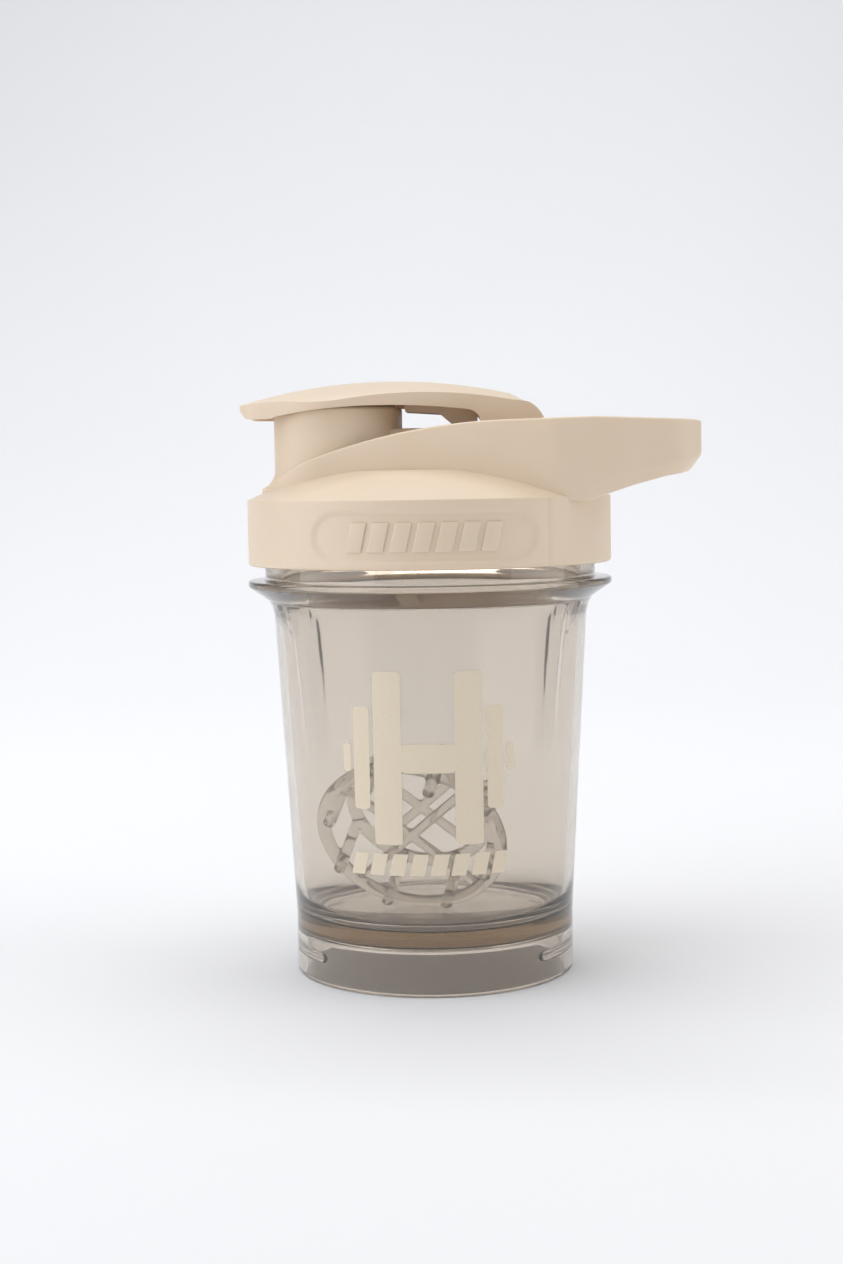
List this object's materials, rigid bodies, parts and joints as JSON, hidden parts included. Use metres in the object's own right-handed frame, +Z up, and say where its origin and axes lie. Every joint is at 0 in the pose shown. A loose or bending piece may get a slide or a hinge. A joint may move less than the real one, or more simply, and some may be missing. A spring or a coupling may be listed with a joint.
{
  "type": "protein shaker bottle",
  "caption": "Small tinted shaker cup with a screw lid, side carry loop, flip cap over a round spout and a loose mixing ball inside.",
  "frame": {"origin": "centre of the cup's foot at the table", "axes": "+Z up along the cup's axis, +X towards the carry loop, the spout is on the -X side"},
  "size_m": [0.1149, 0.0922, 0.1494],
  "materials": {
    "tinted_cup": "clear smoke-tinted copolyester",
    "beige_lid": "fine matte moulded polypropylene",
    "silicone": "food-grade silicone",
    "pin": "smooth acetal pin",
    "ball_plastic": "natural translucent polypropylene"
  },
  "bodies": {
    "cup": {"cup": "tinted_cup"},
    "gasket": {"lid_gasket": "silicone"},
    "lid": {"lid_shell": "beige_lid", "hinge_pin": "pin"},
    "cap": {"flip_cap": "beige_lid", "spout_seal": "silicone"},
    "ball": {"mixing_ball_front": "ball_plastic", "mixing_ball_rear": "ball_plastic"}
  },
  "joints": [
    {"name": "lid_rise", "type": "slide", "parent": "cup", "child": "gasket", "axis": [0, 0, 1], "range_m": [0, 0.01205]},
    {"name": "lid_turn", "type": "hinge", "parent": "gasket", "child": "lid", "pos_m": [0, 0, 0.1], "axis": [0, 0, 1], "range_deg": [0, 540]},
    {"name": "cap_flip", "type": "hinge", "parent": "lid", "child": "cap", "pos_m": [0.0215, 0, 0.136], "axis": [0, 1, 0], "range_deg": [0, 120]},
    {"name": "ball_lift", "type": "slide", "parent": "cup", "child": "ball", "axis": [0, 0, 1], "range_m": [0, 0.045]}
  ],
  "couplings": [
    {"joint": "lid_rise", "follows": "lid_turn", "m_per_rad": 0.0012732}
  ]
}
